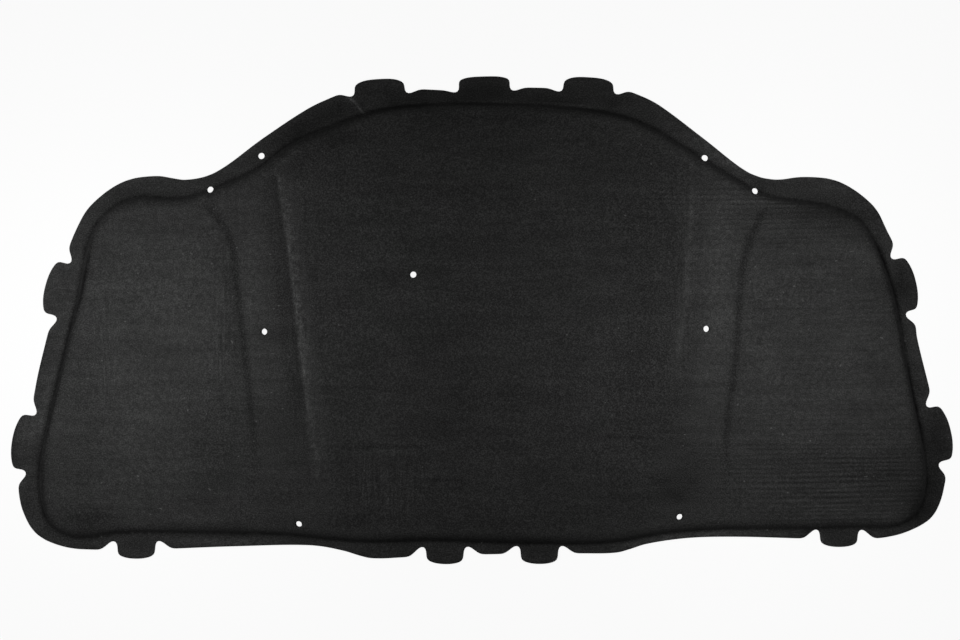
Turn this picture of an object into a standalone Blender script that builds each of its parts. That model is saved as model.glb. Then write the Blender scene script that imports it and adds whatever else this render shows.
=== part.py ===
"""Insulation pad for the underside of a car bonnet.

One sheet of black needled felt, thick and moulded in the middle and pressed thin along its rim.
Eleven tongues stand out of the rim between notches, and nine clip holes go through the sheet.
It lies with its moulded face up: +X runs along the wide side, +Y towards the narrow end.
The origin is on the flat underside, in the middle of the footprint. Lengths are in metres.
"""

from collections import namedtuple
from math import ceil, cos, pi, radians, sin, tan

import bmesh
import bpy
import numpy as np
from mathutils import Vector
from mathutils.geometry import delaunay_2d_cdt, interpolate_bezier

# Overall size
PAD_WIDTH = 1.400
PAD_LENGTH = 0.725

# Thickness of the felt, from the underside
RIM_THICKNESS = 0.0040
CREASE_THICKNESS = 0.0022
WING_THICKNESS = 0.0115
BAND_THICKNESS = 0.0130
FIELD_THICKNESS = 0.0140

# Mould lines: a pinched crease inside the rim with the body's steep shoulder beside it, and a groove
# along the inner edge of each wing. The grooves and the ridges of the middle field fade out
# beside the crease, and slowly towards their lower ends
CREASE_WIDTH = 0.009
SHOULDER_WIDTH = 0.016
GROOVE_DEPTH = 0.0025
GROOVE_WIDTH = 0.018
LOWER_TAPER = 0.160
WING_STEP_WIDTH = 0.030
FIELD_STEP_WIDTH = 0.030
FADE_WIDTH = 0.016

# Ridge along each side of the middle field: its height, the width of the flank that faces the wing
# and of the one that faces the field, and the depth and width of the hollow at its outer foot
Ridge = namedtuple("Ridge", "height outer inner hollow_depth hollow_width")
LEFT_RIDGE = Ridge(0.0026, 0.007, 0.030, 0.0007, 0.028)
RIGHT_RIDGE = Ridge(0.0017, 0.018, 0.022, 0.0003, 0.020)

# Clip holes
HOLE_DIAMETER = 0.010
HOLE_SIDES = 16

# Notches beside the tongues: the radius at the bottom, how far the rim slopes into each one,
# and the radius where that slope leaves the rim
NOTCH_RADIUS = 0.0055
NOTCH_RUN = 0.0235
BROW_RADIUS = 0.0066

# Spacing of the mesh along curves, and over the open felt
CURVE_STEP = 0.020
ARC_STEP = radians(30.0)
CROWN_STEPS = 12
OPEN_FELT_STEP = 0.036
SHOULDER_STEPS = (0.12, 0.35, 0.65, 1.0)
GUIDE_CLEARANCE = 0.003
OPEN_FELT_CLEARANCE = 0.014
SHARP_ANGLE = radians(35.0)

# A tongue's width at its root and at its tip, then measured from its root line the height of its
# straight sides, the height of its crown and the depth of its notches, and last how squarely the
# crown is rounded: 2 is a half ellipse
TongueSize = namedtuple("TongueSize", "root tip side crown notch_depth crown_power")
TOP_TONGUE = TongueSize(0.0730, 0.0750, 0.0125, 0.0205, 0.0065, 3.6)
TOP_MIDDLE_TONGUE = TongueSize(0.0730, 0.0769, 0.0140, 0.0195, 0.0060, 3.8)
UPPER_SIDE_TONGUE = TongueSize(0.0769, 0.0801, 0.0175, 0.0265, 0.0080, 2.6)
LOWER_SIDE_TONGUE = TongueSize(0.0799, 0.0818, 0.0175, 0.0265, 0.0080, 2.4)
BOTTOM_TONGUE = TongueSize(0.0575, 0.0544, 0.0165, 0.0225, 0.0105, 2.6)

# Tongues clockwise from the upper left one: root centre as shares of the half width and half length,
# the direction it points in, how high the rim stands over the root line before and after it, and its
# size
Tongue = namedtuple("Tongue", "u v facing rise_before rise_after size")
TONGUES = {
    "top_left": Tongue(-0.2153, 0.9333, radians(93.4), 0.0017, 0.0020, TOP_TONGUE),
    "top_middle": Tongue(0.0067, 0.9470, radians(91.5), 0.0005, 0.0014, TOP_MIDDLE_TONGUE),
    "top_right": Tongue(0.2270, 0.9407, radians(86.5), 0.0010, 0.0039, TOP_TONGUE),
    "right_upper": Tongue(0.8859, 0.1419, radians(13.4), 0.0076, 0.0121, UPPER_SIDE_TONGUE),
    "right_lower": Tongue(0.9600, -0.4692, radians(12.9), 0.0095, 0.0049, LOWER_SIDE_TONGUE),
    "bottom_right": Tongue(0.7591, -0.8661, radians(-90.3), 0.0100, 0.0101, BOTTOM_TONGUE),
    "bottom_middle_right": Tongue(0.1234, -0.9356, radians(-90.4), 0.0064, 0.0080, BOTTOM_TONGUE),
    "bottom_middle_left": Tongue(-0.0768, -0.9364, radians(-91.5), 0.0066, 0.0131, BOTTOM_TONGUE),
    "bottom_left": Tongue(-0.7322, -0.9142, radians(-90.4), 0.0072, 0.0096, BOTTOM_TONGUE),
    "left_lower": Tongue(-0.9584, -0.5025, radians(170.3), 0.0065, 0.0057, LOWER_SIDE_TONGUE),
    "left_upper": Tongue(-0.8884, 0.1250, radians(165.4), 0.0051, 0.0072, UPPER_SIDE_TONGUE),
}

# Rim between each tongue and the next, clockwise: points that the smooth edge passes through,
# as shares of the half width and half length
RIM_KNOTS = {
    "top_left": [],
    "top_middle": [],
    "top_right": [
        (0.371, 0.891), (0.472, 0.746), (0.569, 0.604), (0.624, 0.577), (0.681, 0.589),
        (0.758, 0.571), (0.833, 0.469), (0.862, 0.364),
    ],
    "right_upper": [(0.924, -0.061)],
    "right_lower": [(0.974, -0.745), (0.951, -0.817), (0.887, -0.877)],
    "bottom_right": [(0.540, -0.886), (0.438, -0.891), (0.344, -0.918), (0.293, -0.950)],
    "bottom_middle_right": [],
    "bottom_middle_left": [(-0.237, -0.974), (-0.286, -0.946), (-0.360, -0.921), (-0.523, -0.925)],
    "bottom_left": [(-0.879, -0.930), (-0.944, -0.875), (-0.976, -0.764)],
    "left_lower": [(-0.940, -0.213)],
    "left_upper": [
        (-0.861, 0.368), (-0.830, 0.470), (-0.758, 0.571), (-0.681, 0.593), (-0.633, 0.576),
        (-0.567, 0.604), (-0.464, 0.746), (-0.363, 0.874),
    ],
}

# Crease around the moulded body, clockwise from the upper left clip hole
CREASE_KNOTS = [
    (-0.474, 0.624), (-0.406, 0.722), (-0.321, 0.795), (-0.219, 0.862), (-0.114, 0.887),
    (0.029, 0.890), (0.164, 0.879), (0.276, 0.849), (0.349, 0.803), (0.434, 0.706),
    (0.561, 0.555), (0.613, 0.510), (0.681, 0.488), (0.737, 0.469), (0.804, 0.408),
    (0.851, 0.246), (0.883, 0.047), (0.910, -0.257), (0.944, -0.615), (0.933, -0.759),
    (0.889, -0.836), (0.814, -0.845), (0.646, -0.850), (0.497, -0.854), (0.381, -0.872),
    (0.297, -0.902), (0.214, -0.913), (0.053, -0.908), (-0.114, -0.900), (-0.250, -0.905),
    (-0.427, -0.875), (-0.677, -0.866), (-0.774, -0.869), (-0.857, -0.888), (-0.916, -0.828),
    (-0.937, -0.687), (-0.930, -0.508), (-0.894, -0.212), (-0.856, 0.097), (-0.830, 0.340),
    (-0.793, 0.446), (-0.735, 0.505), (-0.682, 0.505), (-0.633, 0.503), (-0.574, 0.536),
]

# Open mould lines, each with the middle of the pad on its right-hand side:
# the inner edge of each wing, and the left and the right side of the middle field
WING_LINES = [
    [(-0.476, -0.660), (-0.490, -0.301), (-0.514, 0.099), (-0.534, 0.345), (-0.589, 0.497)],
    [(0.600, 0.470), (0.556, 0.246), (0.539, -0.149), (0.517, -0.508), (0.531, -0.731)],
]
FIELD_LINES = [
    [(-0.340, -0.740), (-0.371, -0.287), (-0.406, 0.287), (-0.433, 0.640)],
    [(0.448, 0.640), (0.441, 0.287), (0.407, -0.287), (0.376, -0.740)],
]
FIELD_RIDGES = [LEFT_RIDGE, RIGHT_RIDGE]

# Clip holes
HOLES = {
    "upper_left": (-0.4667, 0.6747),
    "upper_right": (0.4744, 0.6659),
    "left_shoulder": (-0.5747, 0.5360),
    "right_shoulder": (0.5804, 0.5297),
    "field": (-0.1439, 0.1879),
    "band_right": (0.4766, -0.0339),
    "band_left": (-0.4593, -0.0455),
    "lower_right": (0.4200, -0.8028),
    "lower_left": (-0.3861, -0.8320),
}


def at(u, v):
    """Point of the plan at these shares of the half width and half length."""
    return Vector((u * PAD_WIDTH / 2, v * PAD_LENGTH / 2))


def smooth_curve(knots, closed=False):
    """Evenly stepped points of a smooth curve through the knots."""
    count = len(knots)
    points = []
    for i in range(count if closed else count - 1):
        start = knots[i]
        end = knots[(i + 1) % count]
        before = knots[i - 1] if closed or i > 0 else start
        after = knots[(i + 2) % count] if closed or i + 2 < count else end
        reach = (end - start).length / 3
        leave = (end - before).normalized() * reach
        arrive = (after - start).normalized() * reach
        steps = max(2, ceil((end - start).length / CURVE_STEP))
        piece = interpolate_bezier(start, start + leave, end - arrive, end, steps + 1)
        points.extend(Vector((p.x, p.y)) for p in piece[:-1])
    if not closed:
        points.append(knots[-1])
    return points


def rounded_corner(before, corner, after, radius):
    """Arc of the radius that replaces a corner."""
    incoming = (before - corner).normalized()
    outgoing = (after - corner).normalized()
    half_angle = incoming.angle(outgoing) / 2
    setback = radius / tan(half_angle)
    centre = corner + (incoming + outgoing).normalized() * (radius / sin(half_angle))
    start = corner + incoming * setback - centre
    sweep = start.angle_signed(corner + outgoing * setback - centre)
    steps = max(1, ceil(abs(sweep) / ARC_STEP))
    points = []
    for i in range(steps + 1):
        turn = -sweep * i / steps
        points.append(centre + Vector((
            start.x * cos(turn) - start.y * sin(turn),
            start.x * sin(turn) + start.y * cos(turn),
        )))
    return points


def tongue_points(tongue):
    """Rim beside a tongue, its two notches and its crowned tip, clockwise."""
    size = tongue.size
    root = at(tongue.u, tongue.v)
    out = Vector((cos(tongue.facing), sin(tongue.facing)))
    along = Vector((out.y, -out.x))

    def local(across, height):
        return root + along * across + out * height

    half_root = size.root / 2
    half_tip = size.tip / 2
    shoulder_in = local(-half_root - NOTCH_RUN, tongue.rise_before)
    shoulder_out = local(half_root + NOTCH_RUN, tongue.rise_after)
    notch_in = local(-half_root, -size.notch_depth)
    notch_out = local(half_root, -size.notch_depth)
    crown = []
    for i in range(CROWN_STEPS + 1):
        share = sin(pi * (i / CROWN_STEPS - 0.5))
        rise = (size.crown - size.side) * (1 - abs(share) ** size.crown_power)
        crown.append(local(half_tip * share, size.side + rise))
    return (
        [shoulder_in]
        + rounded_corner(shoulder_in, notch_in, crown[0], NOTCH_RADIUS)
        + crown
        + rounded_corner(crown[-1], notch_out, shoulder_out, NOTCH_RADIUS)
        + [shoulder_out]
    )


def outline():
    """Closed edge of the sheet, clockwise."""
    names = list(TONGUES)
    pieces = [tongue_points(TONGUES[name]) for name in names]
    points = []
    for i, name in enumerate(names):
        following = pieces[(i + 1) % len(names)]
        knots = [at(u, v) for u, v in RIM_KNOTS[name]]
        rim = smooth_curve([pieces[i][-1]] + knots + [following[0]])
        points.extend(rounded_corner(pieces[i][-2], rim[0], rim[1], BROW_RADIUS))
        points.extend(rim[1:-1])
        points.extend(rounded_corner(rim[-2], rim[-1], following[1], BROW_RADIUS))
        points.extend(following[1:-1])
    return points


def hole_outline(centre):
    """Points around a clip hole."""
    radius = HOLE_DIAMETER / 2
    angles = [2 * pi * i / HOLE_SIDES for i in range(HOLE_SIDES)]
    return [centre + Vector((cos(a), sin(a))) * radius for a in angles]


def signed_distance(points, path):
    """Distance from each point to a path, positive on the path's right-hand side."""
    start = path[:-1]
    step = path[1:] - start
    offset = points[:, None, :] - start[None, :, :]
    share = np.clip((offset * step).sum(2) / (step * step).sum(1), 0.0, 1.0)
    gap = offset - share[:, :, None] * step
    squared = (gap * gap).sum(2)
    nearest = squared.argmin(1)
    rows = np.arange(len(points))
    towards = offset[rows, nearest]
    along = step[nearest]
    side = along[:, 1] * towards[:, 0] - along[:, 0] * towards[:, 1]
    return np.sqrt(squared[rows, nearest]) * np.where(side < 0, -1.0, 1.0)


def ramp(value):
    """Soft step from 0 to 1 as the value goes from 0 to 1."""
    share = np.clip(value, 0.0, 1.0)
    return share * share * (3 - 2 * share)


def shoulder_rise(value):
    """Rise from 0 to 1 that starts upright and ends level, as the value goes from 0 to 1."""
    share = np.clip(value, 0.0, 1.0)
    return np.sqrt(1 - (1 - share) ** 2)


def bell(value):
    """Soft hump of height 1 at 0 that ends at -1 and 1."""
    return ramp(1 - np.abs(value))


def offset_path(path, distance):
    """Path moved sideways by the distance, towards its right-hand side."""
    closed = np.allclose(path[0], path[-1])
    before = np.vstack([path[-2:-1] if closed else path[:1], path[:-1]])
    after = np.vstack([path[1:], path[1:2] if closed else path[-1:]])
    along = after - before
    across = np.stack([along[:, 1], -along[:, 0]], axis=1)
    return path + across / np.linalg.norm(across, axis=1, keepdims=True) * distance


def mould_lines():
    """Paths of the mould lines, each with the body or the field on its right-hand side."""
    crease = smooth_curve([at(u, v) for u, v in CREASE_KNOTS], closed=True)
    lines = {"crease": [np.array(crease + crease[:1])]}
    for name, pair in (("wing", WING_LINES), ("field", FIELD_LINES)):
        lines[name] = [np.array(smooth_curve([at(u, v) for u, v in knots])) for knots in pair]
    return lines


def depth_inside(points, paths):
    """Distance from the nearest of the paths, positive where every path has the point on its right."""
    return np.min([signed_distance(points, path) for path in paths], axis=0)


def ridge_height(points, path, ridge):
    """What a ridge and the hollow at its foot add to the thickness."""
    distance = signed_distance(points, path)
    flank = np.where(distance < 0, ridge.outer, ridge.inner)
    hollow_middle = ridge.outer + ridge.hollow_width / 2
    hollow = bell(2 * (distance + hollow_middle) / ridge.hollow_width)
    return ridge.height * bell(distance / flank) - ridge.hollow_depth * hollow


def mould_height(points, lines):
    """Thickness of the felt at points of the plan."""
    from_crease = depth_inside(points, lines["crease"])
    from_wing = depth_inside(points, lines["wing"])
    from_field = depth_inside(points, lines["field"])
    lower_end = max(path[:, 1].min() for path in lines["wing"])
    taper = ramp((points[:, 1] - lower_end) / LOWER_TAPER)
    relief = -GROOVE_DEPTH * bell(2 * from_wing / GROOVE_WIDTH)
    for path, ridge in zip(lines["field"], FIELD_RIDGES):
        relief += ridge_height(points, path, ridge)
    body = (
        WING_THICKNESS
        + (BAND_THICKNESS - WING_THICKNESS) * ramp(from_wing / WING_STEP_WIDTH + 0.5)
        + (FIELD_THICKNESS - BAND_THICKNESS) * ramp(from_field / FIELD_STEP_WIDTH)
        + relief * taper * ramp(from_crease / FADE_WIDTH)
    )
    return (
        CREASE_THICKNESS
        + (body - CREASE_THICKNESS) * shoulder_rise(from_crease / SHOULDER_WIDTH)
        + (RIM_THICKNESS - CREASE_THICKNESS) * ramp(-2 * from_crease / CREASE_WIDTH)
    )


def inside_loop(points, loop):
    """Which points lie inside a closed loop."""
    start = loop
    end = np.roll(loop, -1, axis=0)
    x = points[:, 0, None]
    y = points[:, 1, None]
    spans = (start[:, 1] > y) != (end[:, 1] > y)
    rise = np.where(spans, end[:, 1] - start[:, 1], 1.0)
    crossing = start[:, 0] + (y - start[:, 1]) / rise * (end[:, 0] - start[:, 0])
    return (spans & (x < crossing)).sum(1) % 2 == 1


def guide_edges(lines, edge, holes):
    """Stretches of mesh edge that follow the mould lines, clear of the rim's edge and the holes."""
    shoulder = [SHOULDER_WIDTH * share for share in SHOULDER_STEPS]
    groove = [-GROOVE_WIDTH / 2, 0.0, GROOVE_WIDTH / 2]
    offsets = {
        "crease": [[-CREASE_WIDTH / 2, 0.0] + shoulder],
        "wing": [groove, groove],
        "field": [
            [-r.outer - r.hollow_width, -r.outer - r.hollow_width / 2, -r.outer, 0.0, r.inner / 2, r.inner]
            for r in FIELD_RIDGES
        ],
    }
    stretches = []
    for name, paths in lines.items():
        for path, path_offsets in zip(paths, offsets[name]):
            for offset in path_offsets:
                guide = offset_path(path, offset)
                clear = inside_loop(guide, edge)
                for loop in [edge] + holes:
                    closed = np.vstack([loop, loop[:1]])
                    clear &= np.abs(signed_distance(guide, closed)) > GUIDE_CLEARANCE
                if name != "crease":
                    body = depth_inside(guide, lines["crease"])
                    clear &= body > SHOULDER_WIDTH + GUIDE_CLEARANCE
                stretches.append((guide, clear))
    return stretches


def open_felt_points(stretches, edge, holes):
    """Staggered points over the felt that the guides leave open."""
    rows = ceil(PAD_LENGTH / (OPEN_FELT_STEP * sin(radians(60.0))))
    columns = ceil(PAD_WIDTH / OPEN_FELT_STEP)
    points = np.array([
        (
            (column - columns / 2 + 0.5 * (row % 2)) * OPEN_FELT_STEP,
            (row - rows / 2) * OPEN_FELT_STEP * sin(radians(60.0)),
        )
        for row in range(rows + 1)
        for column in range(columns + 1)
    ])
    keep = inside_loop(points, edge)
    for loop in [edge] + holes:
        closed = np.vstack([loop, loop[:1]])
        keep &= np.abs(signed_distance(points, closed)) > OPEN_FELT_CLEARANCE
    for guide, _ in stretches:
        keep &= np.abs(signed_distance(points, guide)) > OPEN_FELT_CLEARANCE
    return points[keep]


def moulded_face(lines, edge, holes):
    """Corner points and triangles of the moulded upper face."""
    stretches = guide_edges(lines, edge, holes)
    plan = []
    edges = []
    for loop in [edge] + holes:
        first = len(plan)
        plan.extend(loop)
        edges.extend((first + i, first + (i + 1) % len(loop)) for i in range(len(loop)))
    for guide, clear in stretches:
        first = len(plan)
        places = np.cumsum(clear) - 1 + first
        plan.extend(guide[clear])
        edges.extend(
            (int(places[i]), int(places[i + 1]))
            for i in range(len(guide) - 1)
            if clear[i] and clear[i + 1]
        )
    plan.extend(open_felt_points(stretches, edge, holes))
    whole_hull = 0
    merge_distance = 1e-5
    corners, _, triangles, *_ = delaunay_2d_cdt(
        [Vector(point) for point in plan], edges, [], whole_hull, merge_distance
    )
    corners = np.array([tuple(corner) for corner in corners])
    triangles = np.array(triangles)
    middles = corners[triangles].mean(axis=1)
    keep = inside_loop(middles, edge)
    for loop in holes:
        keep &= ~inside_loop(middles, loop)
    return corners, triangles[keep]


def pad_mesh():
    """Closed mesh of the pad: moulded face, upright cut edges and flat underside."""
    edge = np.array([tuple(point) for point in outline()])
    holes = [np.array([tuple(p) for p in hole_outline(at(u, v))]) for u, v in HOLES.values()]
    lines = mould_lines()
    corners, triangles = moulded_face(lines, edge, holes)
    heights = mould_height(corners, lines)

    solid = bmesh.new()
    used = {
        int(i): solid.verts.new((corners[i][0], corners[i][1], heights[i]))
        for i in np.unique(triangles)
    }
    for triangle in triangles:
        solid.faces.new([used[int(i)] for i in triangle])
    rim = [e for e in solid.edges if e.is_boundary]
    walls = bmesh.ops.extrude_edge_only(solid, edges=rim)["geom"]
    for item in walls:
        if isinstance(item, bmesh.types.BMVert):
            item.co.z = 0.0
    base = [e for e in solid.edges if e.is_boundary]
    bmesh.ops.triangle_fill(solid, use_beauty=True, edges=base, normal=(0.0, 0.0, -1.0))
    bmesh.ops.recalc_face_normals(solid, faces=solid.faces)

    low = edge.min(axis=0)
    high = edge.max(axis=0)
    middle = (low + high) / 2
    bmesh.ops.translate(solid, verts=solid.verts, vec=(-middle[0], -middle[1], 0.0))
    mesh = bpy.data.meshes.new("insulation_pad")
    solid.to_mesh(mesh)
    solid.free()
    mesh.shade_smooth()
    mesh.set_sharp_from_angle(angle=SHARP_ANGLE)
    return mesh


def felt_material():
    """Black needled felt: dark, dull and slightly furry."""
    material = bpy.data.materials.new("felt")
    material.use_nodes = True
    surface = material.node_tree.nodes["Principled BSDF"]
    surface.inputs["Base Color"].default_value = (0.020, 0.021, 0.020, 1.0)
    surface.inputs["Roughness"].default_value = 0.95
    surface.inputs["Metallic"].default_value = 0.0
    surface.inputs["Sheen Weight"].default_value = 0.3
    return material


def build():
    for item in list(bpy.data.objects):
        bpy.data.objects.remove(item, do_unlink=True)
    parts = bpy.data.collections.new("bonnet_insulation_pad")
    bpy.context.scene.collection.children.link(parts)
    pad = bpy.data.objects.new("insulation_pad", pad_mesh())
    pad.data.materials.append(felt_material())
    parts.objects.link(pad)


build()
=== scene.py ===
"""Looks of the bonnet insulation pad: black needled felt, face up on a pale studio floor.

The plan and the thickness of the felt come from the frame's solid. This script gives it a fine
surface with rounded cut edges, soft mould lines and lumps, and a felt material.
Lengths are in metres.
"""

import bmesh
import bpy
import numpy as np
from math import ceil, exp, pi, radians, sin
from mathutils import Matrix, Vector, kdtree, noise
from mathutils.bvhtree import BVHTree
from mathutils.geometry import delaunay_2d_cdt


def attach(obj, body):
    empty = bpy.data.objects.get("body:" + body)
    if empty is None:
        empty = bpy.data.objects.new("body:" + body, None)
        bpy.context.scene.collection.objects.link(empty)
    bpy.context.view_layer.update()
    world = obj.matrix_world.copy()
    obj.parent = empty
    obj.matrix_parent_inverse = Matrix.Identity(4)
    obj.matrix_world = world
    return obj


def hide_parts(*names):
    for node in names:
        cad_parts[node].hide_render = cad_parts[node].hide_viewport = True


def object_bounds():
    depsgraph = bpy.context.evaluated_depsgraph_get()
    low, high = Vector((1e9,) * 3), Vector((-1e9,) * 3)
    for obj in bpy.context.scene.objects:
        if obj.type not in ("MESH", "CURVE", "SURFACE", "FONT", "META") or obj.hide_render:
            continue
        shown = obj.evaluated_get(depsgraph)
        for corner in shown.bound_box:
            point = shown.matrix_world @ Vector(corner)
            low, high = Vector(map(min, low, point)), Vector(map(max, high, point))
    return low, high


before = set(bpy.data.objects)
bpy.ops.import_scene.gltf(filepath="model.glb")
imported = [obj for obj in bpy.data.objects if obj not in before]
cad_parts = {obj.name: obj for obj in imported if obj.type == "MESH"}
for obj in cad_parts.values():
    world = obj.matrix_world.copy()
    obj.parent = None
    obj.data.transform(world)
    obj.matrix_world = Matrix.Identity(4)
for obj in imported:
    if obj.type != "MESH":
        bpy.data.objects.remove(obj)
cad_low, cad_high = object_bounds()

# Photograph: its width in pixels, the pad's width in it, and the pad's middle from the picture's
PHOTO_WIDTH_PX = 960
PAD_WIDTH_PX = 941
PAD_MIDDLE_PX = (1.9, 0.2)
CAMERA_HEIGHT = 2.3
SENSOR_WIDTH_MM = 36.0

# Height map of the felt, and how softly its moulded shape is taken over
MAP_STEP = 0.0016
FELT_SOFTNESS = 0.0012

# Painted light and shade from the shape of the felt: the mid-thick wings are paler and the thickest
# middle felt darker, the thin crease is darker partly as pressed pile and partly as painted shade,
# hollows in the thick felt and steep sides get painted shade, raised bends a painted highlight, and the
# cut edge is paler
THICKNESS_TONES = (
    (0.0026, 0.35), (0.0034, 0.68), (0.0041, 0.92), (0.0070, 1.06), (0.0118, 1.06), (0.0130, 1.0),
    (0.0140, 0.84),
)
HOLLOW_SIZE = 0.007
HOLLOW_SHADE = 0.42
HOLLOW_DEPTH = 0.0005
HOLLOW_THICKNESS = (0.006, 0.010)
STEEP_SHADE = 0.62
STEEPEST = 1.2
STEEP_SOFTNESS = 0.0012
BEND_HIGHLIGHT = 850.0
BEND_START = 0.0001
BEND_THICKNESS = (0.0138, 0.0150)
EDGE_LIGHTENING = 0.30
EDGE_SOFTNESS = 0.006

# Places painted paler or darker, partly painted light and shade on the tongues, creases and rim, partly
# the felt's own uneven tone: x and y of the middle, half width, half length and change of tone
PAINTED_LIGHT_AND_TONE_PATCHES = (
    (-0.302, 0.000, 0.020, 0.260, -0.06),
    (-0.343, 0.020, 0.020, 0.180, 0.18),
    (-0.385, -0.180, 0.060, 0.090, -0.20),
    (-0.590, -0.100, 0.035, 0.160, -0.12),
    (-0.660, -0.140, 0.035, 0.040, 0.28),
    (-0.6546, -0.205, 0.010, 0.022, -0.30),
    (-0.6115, -0.201, 0.042, 0.036, -0.12),
    (0.671, -0.190, 0.022, 0.024, -0.20),
    (0.6487, -0.265, 0.015, 0.032, -0.30),
    (0.640, -0.297, 0.013, 0.012, -0.30),
    (-0.630, 0.045, 0.030, 0.040, 0.20),
    (-0.582, -0.300, 0.050, 0.022, -0.35),
    (-0.493, 0.179, 0.070, 0.016, -0.18),
    (-0.240, 0.300, 0.080, 0.040, -0.12),
    (-0.293, 0.240, 0.009, 0.009, -0.35),
    (0.005, 0.353, 0.040, 0.012, -0.15),
    (0.235, 0.030, 0.045, 0.200, -0.15),
    (0.345, 0.080, 0.030, 0.160, 0.28),
    (0.315, -0.235, 0.050, 0.050, -0.20),
    (0.510, 0.153, 0.085, 0.024, -0.34),
    (0.610, -0.230, 0.035, 0.040, -0.14),
    (0.450, -0.200, 0.070, 0.030, -0.13),
    (0.460, -0.300, 0.040, 0.018, -0.20),
    (0.090, -0.020, 0.050, 0.040, -0.10),
    (-0.135, -0.190, 0.050, 0.120, 0.10),
    (-0.330, -0.300, 0.060, 0.018, -0.14),
    (0.560, -0.225, 0.120, 0.040, -0.20),
    (0.400, 0.250, 0.070, 0.050, 0.12),
    (0.288, -0.248, 0.030, 0.022, -0.16),
    (0.672, -0.240, 0.016, 0.035, -0.40),
    (0.656, -0.284, 0.022, 0.016, -0.40),
    (0.627, 0.054, 0.018, 0.030, -0.24),
    (0.620, 0.060, 0.009, 0.030, -0.20),
    (0.677, -0.169, 0.024, 0.030, -0.22),
    (-0.674, -0.180, 0.022, 0.030, 0.16),
    (-0.269, 0.272, 0.018, 0.022, -0.28),
    (0.132, 0.322, 0.022, 0.004, -0.32),
    (0.195, 0.320, 0.012, 0.008, -0.34),
    (-0.663, -0.165, 0.016, 0.016, 0.22),
)
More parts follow.
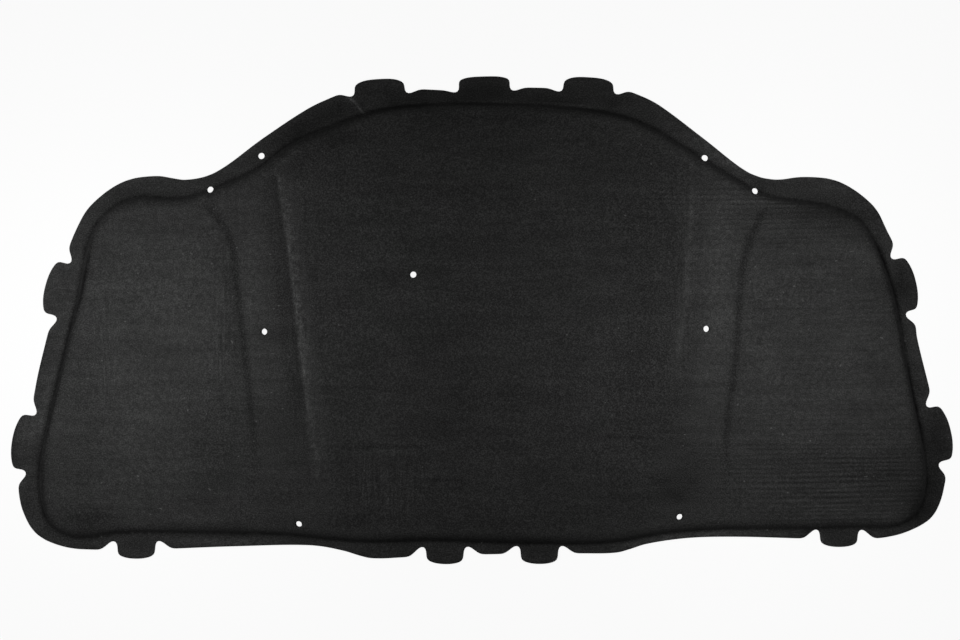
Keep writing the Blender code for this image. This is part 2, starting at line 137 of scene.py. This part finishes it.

# Paler or darker lines: painted light and shade, and dark streaks of the pile. Points along each, width
# and change of tone
PAINTED_LIGHT_AND_TONE_LINES = (
    # Short streaks across the middle field
    (((-0.188, -0.187), (-0.120, -0.188), (-0.074, -0.187)), 0.0025, -0.36),
    (((0.176, -0.174), (0.250, -0.173)), 0.0025, -0.36),
    (((-0.084, -0.236), (-0.017, -0.238)), 0.003, -0.30),
    (((0.000, -0.108), (0.057, -0.109)), 0.003, -0.26),
    (((0.245, -0.232), (0.262, -0.238), (0.283, -0.236)), 0.005, -0.26),
    (((0.268, -0.254), (0.288, -0.258), (0.300, -0.268)), 0.005, -0.24),
    (((0.303, -0.236), (0.322, -0.240)), 0.005, -0.22),
    # Painted highlights and painted shade beside the ridges and grooves
    (((-0.290, 0.232), (-0.272, 0.104), (-0.248, -0.104), (-0.226, -0.260)), 0.015, 0.26),
    (((-0.307, 0.232), (-0.288, 0.104), (-0.265, -0.080)), 0.004, 0.15),
    (((-0.295, 0.232), (-0.277, 0.104), (-0.254, -0.104)), 0.006, 0.22),
    (((-0.262, -0.100), (-0.249, -0.190), (-0.242, -0.250)), 0.007, 0.26),
    (((-0.302, 0.104), (-0.278, -0.104), (-0.258, -0.250)), 0.012, -0.14),
    (((-0.385, 0.100), (-0.372, 0.036), (-0.356, -0.100)), 0.009, -0.18),
    (((0.312, 0.230), (0.307, 0.104), (0.288, -0.080)), 0.018, 0.18),
    (((0.312, 0.200), (0.308, 0.104), (0.296, 0.000), (0.286, -0.090)), 0.006, 0.20),
    # Painted shade in the crease of the left side, then of the right
    (((-0.5765, 0.122), (-0.5945, 0.034), (-0.6085, -0.007), (-0.624, -0.074), (-0.6405, -0.145),
      (-0.653, -0.210)), 0.0036, -0.88),
    (((-0.653, -0.204), (-0.6524, -0.238), (-0.6516, -0.268), (-0.6472, -0.290), (-0.636, -0.306)),
     0.0045, -0.50),
    (((0.577, 0.125), (0.591, 0.1015), (0.601, 0.070), (0.6125, 0.031), (0.6197, -0.010)),
     0.0050, -0.88),
    (((0.615, 0.020), (0.6252, -0.050), (0.6344, -0.086), (0.6434, -0.128), (0.650, -0.156),
      (0.656, -0.193)), 0.0036, -0.88),
    # Painted shade and a painted highlight on the left shoulder
    (((-0.4077, 0.1876), (-0.400, 0.178), (-0.395, 0.168)), 0.004, -0.25),
    (((-0.402, 0.190), (-0.390, 0.178), (-0.378, 0.160)), 0.003, 0.15),
    # Painted shade in the bottom crease, then a painted highlight along the top crease, and painted
    # highlights and shade in the bands beside it
    (((-0.600, -0.322), (-0.542, -0.315), (-0.474, -0.314), (-0.299, -0.317)), 0.0055, -0.20),
    (((-0.175, -0.322), (-0.080, -0.320), (0.037, -0.323), (0.150, -0.325)), 0.006, -0.28),
    (((-0.120, 0.3205), (0.020, 0.3215), (0.160, 0.317)), 0.004, 1.40),
    (((-0.150, 0.3235), (0.020, 0.3270), (0.160, 0.3225)), 0.005, -0.34),
    (((-0.150, 0.3155), (-0.128, 0.3191), (-0.103, 0.3214), (-0.046, 0.3236), (0.009, 0.3236),
      (0.073, 0.3206), (0.103, 0.3184), (0.132, 0.3154), (0.162, 0.3113), (0.192, 0.3070)),
     0.003, 0.40),
    (((-0.150, 0.3190), (-0.110, 0.3200), (-0.070, 0.3210)), 0.010, -0.30),
    (((-0.060, 0.3280), (0.000, 0.3290), (0.030, 0.3290)), 0.008, -0.22),
    (((-0.156, 0.3120), (-0.225, 0.2875), (-0.284, 0.2610)), 0.0035, 0.45),
    (((-0.155, 0.3070), (-0.228, 0.2820), (-0.287, 0.2550)), 0.006, -0.15),
    (((-0.130, 0.306), (0.020, 0.308), (0.170, 0.303)), 0.012, -0.20),
    (((-0.181, 0.290), (-0.240, 0.255), (-0.292, 0.222)), 0.018, -0.18),
    (((-0.150, 0.335), (0.000, 0.340), (0.170, 0.336)), 0.010, -0.28),
    (((-0.210, 0.315), (-0.270, 0.282), (-0.312, 0.255)), 0.014, -0.28),
    # Pressed rim: paler lines along its lips, and painted shade along its right side
    (((0.254, 0.308), (0.330, 0.262), (0.388, 0.219)), 0.010, 0.25),
    (((0.607, 0.115), (0.640, 0.020), (0.655, -0.060), (0.672, -0.130), (0.690, -0.200)),
     0.018, -0.22),
    (((0.200, -0.338), (0.260, -0.326), (0.340, -0.3165), (0.450, -0.315)), 0.006, 0.50),
    (((-0.480, -0.3285), (-0.380, -0.3275), (-0.280, -0.331)), 0.005, 0.50),
    (((-0.592, 0.120), (-0.610, 0.030), (-0.637, -0.080), (-0.660, -0.170)), 0.007, 0.20),
    (((0.6366, -0.005), (0.6457, -0.047), (0.6535, -0.091), (0.656, -0.117)), 0.004, 0.28),
    # Painted shade along the cut edges of the side tongues
    (((-0.656, -0.147), (-0.682, -0.142), (-0.694, -0.167), (-0.697, -0.195), (-0.694, -0.221)),
     0.0022, -0.55),
    (((-0.645, -0.015), (-0.664, -0.115)), 0.0018, -0.40),
    (((0.627, 0.092), (0.637, 0.078), (0.647, 0.052), (0.648, 0.017)), 0.0020, -0.45),
    # Painted shade at the lower ends of the grooves
    (((0.3655, -0.120), (0.362, -0.200), (0.3595, -0.270)), 0.006, -0.14),
    (((-0.343, -0.100), (-0.337, -0.180), (-0.333, -0.250)), 0.010, -0.10),
)

# Places with fine ripples across the pile, and with fine upright lines: x and y of the middle,
# half width, half length and strength
RIPPLE_PATCHES = (
    (0.535, -0.240, 0.150, 0.070, 1.0),
    (0.420, 0.170, 0.170, 0.050, 0.6),
    (0.540, 0.000, 0.140, 0.200, 0.25),
)
LINE_PATCHES = (
    (-0.382, -0.020, 0.022, 0.180, 1.0),
    (-0.560, -0.020, 0.020, 0.120, 0.7),
    (-0.270, 0.020, 0.030, 0.220, 0.7),
    (-0.150, -0.240, 0.070, 0.050, 1.2),
    (0.290, 0.060, 0.040, 0.180, 0.8),
)

# Ripples and fine lines show only where the felt is thicker than this
BODY_THICKNESS = 0.008

# Strength of a line at its ends, and share of its length over which it comes up to full strength
LINE_FADE = 0.2

# Wrinkles of the rim: points along each, width, height and change of tone, a painted highlight where it
# is positive and painted shade where it is negative
WRINKLES = (
    (((-0.201, 0.333), (-0.1875, 0.323), (-0.180, 0.3124), (-0.1715, 0.304)), 0.0016, 0.0012, 1.6),
    (((-0.218, 0.331), (-0.206, 0.296)), 0.0050, 0.0008, -0.2),
    (((0.640, -0.085), (0.652, -0.108)), 0.0022, 0.0006, -0.3),
    (((0.632, -0.060), (0.650, -0.075)), 0.0020, 0.0005, -0.25),
)

# Fine surface: spacing over the open felt, over steep felt and along the cut edges
OPEN_STEP = 0.0052
STEEP_STEP = 0.0022
STEEP_SLOPE = 0.10
EDGE_STEP = 0.004
HOLE_EDGE_STEP = 0.0016
EDGE_ROUND = 0.0013
EDGE_DROP = 0.0012

# Unevenness: soft lumps, and long low folds that lie across the pad
LUMP_SIZE = 0.08
LUMP_HEIGHT = 0.0006
FOLD_LENGTH = 0.11
FOLD_WIDTH = 0.017
FOLD_HEIGHT = 0.0004

# Felt's plain colour and its dull shine
FELT_COLOUR = (0.0248, 0.0250, 0.0247)
FELT_SPECULAR = 0.05
FELT_SHEEN = 0.05
SHEEN_ROUGHNESS = 0.6

# Scales of the felt's textures. Stretched ones have a scale for each axis
GRAIN_SCALE = 540.0
TUFT_SCALE = 150.0
CLOUD_SCALE = 16.0
LINT_SCALE = 210.0
STREAK_STRETCH = (9.0, 75.0, 40.0)
LINE_STRETCH = (300.0, 22.0, 22.0)

# Ripples 7 mm apart that lean a little, and the noise that breaks them up
RIPPLE_SCALE = 45.0
RIPPLE_WAVERING = 7.0
RIPPLE_DETAIL_SCALE = 0.6
RIPPLE_STRETCH = (0.12, 1.0, 1.0)
BREAK_STRETCH = (22.0, 150.0, 40.0)
RIPPLE_LEAN = radians(-5.0)

# What a texture or an attribute is turned into: its low and high value, and the results for those.
# The grain's result, times its strength at this tone with painted light, is a power of e. The tone with
# painted light is raised to the power RAGGED, so that tufts break up its patches and lines. Ripples and
# fine lines change the tone by their result times the strength of their area. Lint is added
GRAIN_TONES = (0.25, 0.75, -0.42, 0.42)
GRAIN_STRENGTH = (0.75, 1.05, 1.35, 0.95)
TUFT_TONES = (0.25, 0.75, 0.75, 1.25)
CLOUD_TONES = (0.25, 0.75, 0.86, 1.14)
STREAK_TONES = (0.30, 0.70, 0.86, 1.12)
LINE_TONES = (0.3, 0.7, -0.28, 0.28)
RIPPLE_TONES = (0.0, 1.0, -0.36, 0.36)
RIPPLE_BREAKS = (0.35, 0.6, 0.2, 1.0)
RAGGED = (0.30, 0.70, 0.45, 1.65)
LINT_TONES = (0.84, 0.88, 0.0, 1.6)
GRAIN_ROUGHNESS = (0.3, 0.7, 0.85, 1.0)

# Height of the fibres, and the tufts' share in it
BUMP_HEIGHT = 0.0008
TUFT_HEIGHT = 0.6

# Floor, how white it and the surroundings look to the camera, and the light of the surroundings
FLOOR_SIZE = 40.0
FLOOR_PAINT = (0.85, 0.85, 0.85, 1.0)
FLOOR_ROUGHNESS = 0.9
BACKDROP_WHITE = 0.93
SURROUNDING_LIGHT = 0.08

# Softboxes low over the wings: name, place and power
SOFTBOX_SIZE = 0.36
SOFTBOXES = (
    ("left_softbox", (-0.54, -0.02, 0.46), 2.8),
    ("right_softbox", (0.43, -0.01, 0.46), 2.45),
)


def surface_of(node):
    """The node's solid as one welded mesh."""
    solid = bmesh.new()
    solid.from_mesh(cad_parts[node].data)
    weld_distance = 1e-6
    bmesh.ops.remove_doubles(solid, verts=solid.verts, dist=weld_distance)
    solid.normal_update()
    return solid


def base_loops(solid):
    """Outline and holes of the flat underside, as closed loops of plan points, longest first."""
    upright = 0.5
    following = {}
    for face in solid.faces:
        if face.normal.z > -upright:
            continue
        for loop in face.loops:
            other = loop.link_loop_radial_next.face
            if abs(other.normal.z) < upright:
                following[loop.vert] = loop.link_loop_next.vert
    loops = []
    while following:
        vert = next(iter(following))
        points = []
        while vert in following:
            points.append((vert.co.x, vert.co.y))
            vert = following.pop(vert)
        loops.append(np.array(points))
    return sorted(loops, key=len, reverse=True)


def resampled(loop, step):
    """Loop with evenly spaced points, its corners slightly rounded."""
    closed = np.vstack([loop, loop[:1]])
    lengths = np.concatenate([[0.0], np.cumsum(np.linalg.norm(np.diff(closed, axis=0), axis=1))])
    places = np.linspace(0.0, lengths[-1], ceil(lengths[-1] / step), endpoint=False)
    points = np.stack([np.interp(places, lengths, closed[:, axis]) for axis in (0, 1)], axis=1)
    rounds = 2
    for _ in range(rounds):
        points = (np.roll(points, 1, axis=0) + 2 * points + np.roll(points, -1, axis=0)) / 4
    return points


def inset(loop, distance):
    """Loop moved sideways into the felt. The underside's loops have the felt on their right."""
    along = np.roll(loop, -1, axis=0) - np.roll(loop, 1, axis=0)
    across = np.stack([along[:, 1], -along[:, 0]], axis=1)
    return loop + across / np.linalg.norm(across, axis=1, keepdims=True) * distance


def inside_loop(points, loop):
    """Which points lie inside a closed loop."""
    result = np.zeros(len(points), dtype=bool)
    x, y = points[:, 0], points[:, 1]
    for start, end in zip(loop, np.roll(loop, -1, axis=0)):
        if start[1] == end[1]:
            continue
        spans = (start[1] > y) != (end[1] > y)
        result ^= spans & (x < start[0] + (y - start[1]) / (end[1] - start[1]) * (end[0] - start[0]))
    return result


def staggered_points(low, high, step):
    """Even triangle grid of plan points over a rectangle."""
    rows = np.arange(low[1], high[1], step * sin(pi / 3))
    columns = np.arange(low[0], high[0], step)
    x, y = np.meshgrid(columns, rows)
    x[1::2] += step / 2
    return np.stack([x.ravel(), y.ravel()], axis=1)


class FeltMap:
    """Thickness of the felt over an even grid of the plan."""

    def __init__(self, solid, outline):
        tree = BVHTree.FromBMesh(solid)
        margin = 10 * MAP_STEP
        above = 1.0
        self.low = outline.min(axis=0) - margin
        high = outline.max(axis=0) + margin
        self.shape = tuple(np.ceil((high - self.low) / MAP_STEP).astype(int) + 1)
        self.heights = np.zeros(self.shape)
        self.felt = np.zeros(self.shape)
        for i in range(self.shape[0]):
            for j in range(self.shape[1]):
                place = (self.low[0] + i * MAP_STEP, self.low[1] + j * MAP_STEP, above)
                hit = tree.ray_cast(place, (0.0, 0.0, -1.0))[0]
                if hit is not None:
                    self.heights[i, j] = hit.z
                    self.felt[i, j] = 1.0
        places = [self.low[axis] + np.arange(self.shape[axis]) * MAP_STEP for axis in (0, 1)]
        self.x, self.y = np.meshgrid(*places, indexing="ij")

    def along(self, path, width):
        """Soft line of height 1 along a path, fading at its ends."""
        path = np.array(path)
        steps = np.diff(path, axis=0)
        lengths = np.hypot(steps[:, 0], steps[:, 1])
        nearest = np.full(self.shape, np.inf)
        place = np.zeros(self.shape)
        for i, (start, step) in enumerate(zip(path, steps)):
            x, y = self.x - start[0], self.y - start[1]
            share = np.clip((x * step[0] + y * step[1]) / lengths[i] ** 2, 0.0, 1.0)
            distance = np.hypot(x - share * step[0], y - share * step[1])
            place = np.where(distance < nearest, lengths[:i].sum() + share * lengths[i], place)
            nearest = np.minimum(nearest, distance)
        from_end = np.minimum(place, lengths.sum() - place) / lengths.sum()
        return np.exp(-((nearest / width) ** 2)) * np.clip(LINE_FADE + from_end / LINE_FADE, 0.0, 1.0)

    def blurred(self, grid, radius):
        """Grid blurred over this radius."""
        reach = ceil(3 * radius / MAP_STEP)
        weights = np.exp(-0.5 * (np.arange(-reach, reach + 1) * MAP_STEP / radius) ** 2)
        for axis in (0, 1):
            grid = np.apply_along_axis(np.convolve, axis, grid, weights / weights.sum(), "same")
        return grid

    def softened(self, grid, radius):
        """Grid blurred over this radius, with nothing taken from outside the felt."""
        tiny = 1e-6
        felt_share = np.maximum(self.blurred(self.felt, radius), tiny)
        return self.blurred(grid * self.felt, radius) / felt_share

    def read(self, grid, points):
        """Values of a grid at plan points."""
        place = (points - self.low) / MAP_STEP
        corner = np.clip(np.floor(place).astype(int), 0, np.array(self.shape) - 2)
        share = place - corner
        i, j = corner[:, 0], corner[:, 1]
        u, v = share[:, 0], share[:, 1]
        return (
            grid[i, j] * (1 - u) * (1 - v)
            + grid[i + 1, j] * u * (1 - v)
            + grid[i, j + 1] * (1 - u) * v
            + grid[i + 1, j + 1] * u * v
        )


def tones_and_painted_light(felt_map, soft, outline):
    """Tone of the felt over the map, with painted light and shade from its shape and its patches, lines
    and wrinkles. Plain felt has 1.
    """
    wide = felt_map.softened(felt_map.heights, HOLLOW_SIZE)
    hollow = wide - soft
    slope = felt_map.softened(np.hypot(*np.gradient(soft, MAP_STEP)), STEEP_SOFTNESS)
    thicknesses, tones = zip(*THICKNESS_TONES)
    # Painted light and shade by thickness: paler wings, darker thickest middle, and a crease darker
    # partly as pressed pile and partly as painted shade
    tone = np.interp(np.minimum(wide, soft), thicknesses, tones)
    depth = np.maximum(hollow, 0.0) * np.interp(soft, HOLLOW_THICKNESS, (0.0, 1.0))
    # Painted shade in hollows of the thick felt
    tone *= 1 - HOLLOW_SHADE * (1 - np.exp(-depth / HOLLOW_DEPTH))
    # Painted shade on steep sides
    tone *= 1 - STEEP_SHADE * np.clip(slope / STEEPEST, 0.0, 1.0)
    # Painted highlight on raised bends
    bend = np.maximum(-hollow - BEND_START, 0.0) * np.interp(soft, BEND_THICKNESS, (0.0, 1.0))
    tone *= 1 + BEND_HIGHLIGHT * bend
    places = np.stack([felt_map.x.ravel(), felt_map.y.ravel()], axis=1)
    sheet = inside_loop(places, outline).reshape(felt_map.shape).astype(float)
    edge = 1 - felt_map.blurred(sheet, EDGE_SOFTNESS)
    share_at_edge = 0.5
    tone *= 1 + EDGE_LIGHTENING * np.clip(edge / share_at_edge, 0.0, 1.0)
    # Patches of painted light and shade, and of the felt's own uneven tone
    for x, y, half_width, half_length, change in PAINTED_LIGHT_AND_TONE_PATCHES:
        reach = ((felt_map.x - x) / half_width) ** 2 + ((felt_map.y - y) / half_length) ** 2
        tone *= 1 + change * np.exp(-reach)
    # Lines of painted light and shade, and dark streaks of the pile
    for path, width, change in PAINTED_LIGHT_AND_TONE_LINES:
        tone *= 1 + change * felt_map.along(path, width)
    # Painted highlight and shade along the rim's wrinkles
    for path, width, _, change in WRINKLES:
        tone *= 1 + change * felt_map.along(path, width)
    return tone


def loop_edges(loops):
    """Pairs of point numbers along closed loops, numbered through from one loop to the next."""
    edges = []
    first = 0
    for loop in loops:
        count = len(loop)
        edges.extend((first + i, first + (i + 1) % count) for i in range(count))
        first += count
    return edges


def filling_points(plan, outline, felt_map, soft):
    """Plan points inside the outline that keep clear of the plan's, closer where it is steep."""
    near = kdtree.KDTree(len(plan))
    for i, point in enumerate(plan):
        near.insert((point[0], point[1], 0.0), i)
    near.balance()
    slopes = np.hypot(*np.gradient(soft, MAP_STEP))
    low, high = plan.min(axis=0), plan.max(axis=0)
    clearance = 0.6
    filling = []
    for step, steep in ((OPEN_STEP, False), (STEEP_STEP, True)):
        grid = staggered_points(low, high, step)
        grid = grid[(felt_map.read(slopes, grid) > STEEP_SLOPE) == steep]
        grid = grid[inside_loop(grid, outline)]
        filling.append(grid[[near.find((p[0], p[1], 0.0))[2] > step * clearance for p in grid]])
    return filling


def fine_plan(loops, felt_map, soft):
    """Plan points and triangles, dense where the felt is steep."""
    steps = [EDGE_STEP] + [HOLE_EDGE_STEP] * (len(loops) - 1)
    rims = [resampled(loop, step) for loop, step in zip(loops, steps)]
    brows = [inset(rim, EDGE_ROUND) for rim in rims]
    plan = np.vstack(rims + brows)
    plan = np.vstack([plan] + filling_points(plan, rims[0], felt_map, soft))
    points = [Vector(place) for place in plan]
    merge_distance = 1e-6
    corners, _, triangles, *_ = delaunay_2d_cdt(points, loop_edges(rims + brows), [], 0, merge_distance)
    corners = np.array([tuple(c) for c in corners])
    triangles = np.array(triangles)
    middles = corners[triangles].mean(axis=1)
    keep = inside_loop(middles, rims[0])
    for rim in rims[1:]:
        keep &= ~inside_loop(middles, rim)
    return corners, triangles[keep]


def unevenness(x, y):
    """Height of the soft lumps and of the long low folds, which come in patches."""
    lump_layer, patch_layer, fold_layer = 0.3, 7.1, 3.7
    fold_spread = 0.4
    lump = noise.noise((x / LUMP_SIZE, y / LUMP_SIZE, lump_layer))
    patch = noise.noise((x / LUMP_SIZE / 2, y / LUMP_SIZE / 2, patch_layer))
    fold = noise.noise((x / FOLD_LENGTH + y, y / FOLD_WIDTH, fold_layer))
    return LUMP_HEIGHT * lump + FOLD_HEIGHT * fold * max(0.0, patch + fold_spread)


def patch_strength(patches, x, y):
    """How strongly a list of patches shows at a place on the felt, up to about 1."""
    return sum(
        strength * exp(-(((x - middle_x) / half_width) ** 2) - ((y - middle_y) / half_length) ** 2)
        for middle_x, middle_y, half_width, half_length, strength in patches
    )


def upper_side(corners, triangles, heights, tones):
    """Face of the felt, with its tones and painted light and the places of ripples and lines as
    attributes.
    """
    mesh = bmesh.new()
    tone_and_painted_light = mesh.verts.layers.float.new("tone_and_painted_light")
    ripple_area = mesh.verts.layers.float.new("ripple_area")
    line_area = mesh.verts.layers.float.new("line_area")
    used = {}
    for i in np.unique(triangles):
        x, y = corners[i]
        vert = mesh.verts.new((x, y, heights[i] + unevenness(x, y)))
        # Tone with painted light and shade, kept on each point
        vert[tone_and_painted_light] = tones[i]
        if heights[i] > BODY_THICKNESS:
            vert[ripple_area] = patch_strength(RIPPLE_PATCHES, x, y)
            vert[line_area] = patch_strength(LINE_PATCHES, x, y)
        used[int(i)] = vert
    for triangle in triangles:
        mesh.faces.new([used[int(i)] for i in triangle])
    return mesh


def close_below(mesh):
    """Cut edges with a rounded brow, and the flat underside."""
    rim = [edge for edge in mesh.edges if edge.is_boundary]
    for vert in {vert for edge in rim for vert in edge.verts}:
        vert.co.z -= EDGE_DROP
    for item in bmesh.ops.extrude_edge_only(mesh, edges=rim)["geom"]:
        if isinstance(item, bmesh.types.BMVert):
            item.co.z = 0.0
    base = [edge for edge in mesh.edges if edge.is_boundary]
    bmesh.ops.triangle_fill(mesh, use_beauty=True, edges=base, normal=(0.0, 0.0, -1.0))
    bmesh.ops.recalc_face_normals(mesh, faces=mesh.faces)


def make_felt():
    """The pad's visible felt, as one closed mesh."""
    solid = surface_of("insulation_pad")
    loops = base_loops(solid)
    felt_map = FeltMap(solid, loops[0])
    solid.free()
    soft = felt_map.softened(felt_map.heights, FELT_SOFTNESS)
    # Tones with painted light and shade
    tones = tones_and_painted_light(felt_map, soft, loops[0])
    for path, width, height, _ in WRINKLES:
        soft += height * felt_map.along(path, width)
    corners, triangles = fine_plan(loops, felt_map, soft)
    mesh = upper_side(corners, triangles, felt_map.read(soft, corners), felt_map.read(tones, corners))
    close_below(mesh)

    data = bpy.data.meshes.new("felt_pad")
    mesh.to_mesh(data)
    mesh.free()
    sharp_angle = radians(62.0)
    data.shade_smooth()
    data.set_sharp_from_angle(angle=sharp_angle)
    pad = bpy.data.objects.new("felt_pad", data)
    bpy.context.scene.collection.objects.link(pad)
    return pad


class Shading:
    """Short ways to add and join a material's nodes."""

    def __init__(self, name):
        self.material = bpy.data.materials.new(name)
        self.material.use_nodes = True
        self.nodes = self.material.node_tree.nodes
        self.link = self.material.node_tree.links.new
        self.surface = self.nodes["Principled BSDF"]

    def put(self, node, socket, value):
        """Feed a node's input from another node's output, or set it to a number."""
        if isinstance(value, bpy.types.NodeSocket):
            self.link(value, node.inputs[socket])
        else:
            node.inputs[socket].default_value = value

    def math(self, operation, *values):
        """One step of reckoning with one to three values."""
        node = self.nodes.new("ShaderNodeMath")
        node.operation = operation
        for i, value in enumerate(values):
            self.put(node, i, value)
        return node.outputs["Value"]

    def scaled(self, value, low, high, to_low, to_high):
        """Value taken from one range to another, and held inside it."""
        node = self.nodes.new("ShaderNodeMapRange")
        for i, item in enumerate((value, low, high, to_low, to_high)):
            self.put(node, i, item)
        return node.outputs["Result"]

    def stretched(self, vector, scale, turn=0.0):
        """Coordinates with a scale for each axis, turned about the upright one."""
        node = self.nodes.new("ShaderNodeMapping")
        self.link(vector, node.inputs["Vector"])
        node.inputs["Rotation"].default_value = (0.0, 0.0, turn)
        node.inputs["Scale"].default_value = scale
        return node.outputs["Vector"]

    def attribute(self, name):
        """Number kept on the mesh's points."""
        node = self.nodes.new("ShaderNodeAttribute")
        node.attribute_name = name
        return node.outputs["Fac"]

    def noise(self, vector, scale, detail=2.0, roughness=0.5):
        """Cloudy noise, mostly between 0.25 and 0.75."""
        node = self.nodes.new("ShaderNodeTexNoise")
        self.link(vector, node.inputs["Vector"])
        node.inputs["Scale"].default_value = scale
        node.inputs["Detail"].default_value = detail
        node.inputs["Roughness"].default_value = roughness
        return node.outputs["Fac"]

    def ripples(self, vector):
        """Even ripples, one above the other, slightly wavering."""
        node = self.nodes.new("ShaderNodeTexWave")
        node.wave_type = "BANDS"
        node.bands_direction = "Y"
        self.link(vector, node.inputs["Vector"])
        node.inputs["Scale"].default_value = RIPPLE_SCALE
        node.inputs["Distortion"].default_value = RIPPLE_WAVERING
        node.inputs["Detail Scale"].default_value = RIPPLE_DETAIL_SCALE
        return node.outputs["Fac"]

    def seen(self):
        """1 for rays that show the backdrop: the camera's, and those of shiny or clear surfaces."""
        rays = self.nodes.new("ShaderNodeLightPath").outputs
        seen = self.math("MAXIMUM", rays["Is Camera Ray"], rays["Is Glossy Ray"])
        return self.math("MAXIMUM", seen, rays["Is Transmission Ray"])


def felt_tone(s, place, grain, tufts, ripples, ripple_area):
    """How pale the felt is: the product of all its tones, painted light and shade among them, with pale
    lint added.
    """
    # Tone with painted light and shade, from the mesh
    tone_and_painted_light = s.attribute("tone_and_painted_light")
    clouds = s.noise(place, CLOUD_SCALE, detail=4.0, roughness=0.6)
    streaks = s.noise(s.stretched(place, STREAK_STRETCH), 1.0)
    lines = s.noise(s.stretched(place, LINE_STRETCH), 1.0)
    grain_tone = s.math("MULTIPLY", s.scaled(grain, *GRAIN_TONES), s.scaled(tone_and_painted_light, *GRAIN_STRENGTH))
    factors = (
        s.scaled(tufts, *TUFT_TONES),
        s.scaled(clouds, *CLOUD_TONES),
        s.scaled(streaks, *STREAK_TONES),
        s.math("MULTIPLY_ADD", s.scaled(lines, *LINE_TONES), s.attribute("line_area"), 1.0),
        s.math("MULTIPLY_ADD", s.scaled(ripples, *RIPPLE_TONES), ripple_area, 1.0),
        s.math("POWER", tone_and_painted_light, s.scaled(tufts, *RAGGED)),
    )
    tone = s.math("EXPONENT", grain_tone)
    for factor in factors:
        tone = s.math("MULTIPLY", tone, factor)
    lint = s.noise(place, LINT_SCALE, detail=0.0)
    return s.math("ADD", tone, s.scaled(lint, *LINT_TONES))


def felt_material():
    """Black needled felt: mottled, dull, with a faint sheen and a fibrous grain."""
    s = Shading("needled_felt")
    s.surface.inputs["Specular IOR Level"].default_value = FELT_SPECULAR
    s.surface.inputs["Sheen Weight"].default_value = FELT_SHEEN
    s.surface.inputs["Sheen Roughness"].default_value = SHEEN_ROUGHNESS
    place = s.nodes.new("ShaderNodeTexCoord").outputs["Object"]
    grain = s.noise(place, GRAIN_SCALE, detail=0.0)
    tufts = s.noise(place, TUFT_SCALE, detail=3.0, roughness=0.6)
    ripples = s.ripples(s.stretched(place, RIPPLE_STRETCH, RIPPLE_LEAN))
    breaks = s.noise(s.stretched(place, BREAK_STRETCH, RIPPLE_LEAN), 1.0)
    ripple_area = s.math("MULTIPLY", s.attribute("ripple_area"), s.scaled(breaks, *RIPPLE_BREAKS))

    colour = s.nodes.new("ShaderNodeVectorMath")
    colour.operation = "SCALE"
    colour.inputs["Vector"].default_value = FELT_COLOUR
    tone = felt_tone(s, place, grain, tufts, ripples, ripple_area)
    s.link(tone, colour.inputs["Scale"])
    s.link(colour.outputs["Vector"], s.surface.inputs["Base Color"])
    s.link(s.scaled(grain, *GRAIN_ROUGHNESS), s.surface.inputs["Roughness"])

    height = s.math("MULTIPLY_ADD", tufts, TUFT_HEIGHT, grain)
    height = s.math("ADD", height, s.math("MULTIPLY", ripples, ripple_area))
    bump = s.nodes.new("ShaderNodeBump")
    bump.inputs["Strength"].default_value = 1.0
    bump.inputs["Distance"].default_value = BUMP_HEIGHT
    s.link(height, bump.inputs["Height"])
    s.link(bump.outputs["Normal"], s.surface.inputs["Normal"])
    return s.material


def make_floor():
    """Plain white floor that keeps the pad's shadow."""
    below = 0.0002
    bpy.ops.mesh.primitive_plane_add(size=FLOOR_SIZE, location=(0.0, 0.0, -below))
    floor = bpy.context.object
    floor.name = "floor"
    s = Shading("floor_paint")
    s.surface.inputs["Base Color"].default_value = FLOOR_PAINT
    s.surface.inputs["Roughness"].default_value = FLOOR_ROUGHNESS
    glow = s.nodes.new("ShaderNodeEmission")
    mix = s.nodes.new("ShaderNodeMixShader")
    s.link(s.math("MULTIPLY", s.seen(), BACKDROP_WHITE), mix.inputs["Fac"])
    s.link(s.surface.outputs["BSDF"], mix.inputs[1])
    s.link(glow.outputs["Emission"], mix.inputs[2])
    s.link(mix.outputs["Shader"], s.nodes["Material Output"].inputs["Surface"])
    floor.data.materials.append(s.material)


def softbox(name, place, power):
    """Square area lamp at a place, facing straight down."""
    lamp = bpy.data.lights.new(name, "AREA")
    lamp.size = SOFTBOX_SIZE
    lamp.energy = power
    box = bpy.data.objects.new(name, lamp)
    box.location = place
    box.visible_camera = False
    bpy.context.scene.collection.objects.link(box)


def make_light():
    """Dim even surroundings, and a softbox low over each wing."""
    world = bpy.data.worlds.new("studio")
    world.use_nodes = True
    nodes = world.node_tree.nodes
    background = nodes["Background"]
    background.inputs["Color"].default_value = (1.0, 1.0, 1.0, 1.0)
    strength = nodes.new("ShaderNodeMapRange")
    strength.inputs["To Min"].default_value = SURROUNDING_LIGHT
    strength.inputs["To Max"].default_value = BACKDROP_WHITE
    rays = nodes.new("ShaderNodeLightPath").outputs
    world.node_tree.links.new(rays["Is Camera Ray"], strength.inputs["Value"])
    world.node_tree.links.new(strength.outputs["Result"], background.inputs["Strength"])
    bpy.context.scene.world = world
    for name, place, power in SOFTBOXES:
        softbox(name, place, power)


def make_camera():
    """Camera straight above the pad, framed as the photograph."""
    metres_per_px = (cad_high.x - cad_low.x) / PAD_WIDTH_PX
    camera = bpy.data.cameras.new("camera")
    camera.sensor_width = SENSOR_WIDTH_MM
    camera.lens = SENSOR_WIDTH_MM * CAMERA_HEIGHT / (PHOTO_WIDTH_PX * metres_per_px)
    holder = bpy.data.objects.new("camera", camera)
    middle = (cad_low + cad_high) / 2
    holder.location = (
        middle.x - PAD_MIDDLE_PX[0] * metres_per_px,
        middle.y + PAD_MIDDLE_PX[1] * metres_per_px,
        CAMERA_HEIGHT,
    )
    bpy.context.scene.collection.objects.link(holder)
    bpy.context.scene.camera = holder


felt = make_felt()
felt.data.materials.append(felt_material())
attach(felt, "root")
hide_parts("insulation_pad")

make_floor()
make_light()
make_camera()
bpy.context.scene.view_settings.view_transform = "Standard"
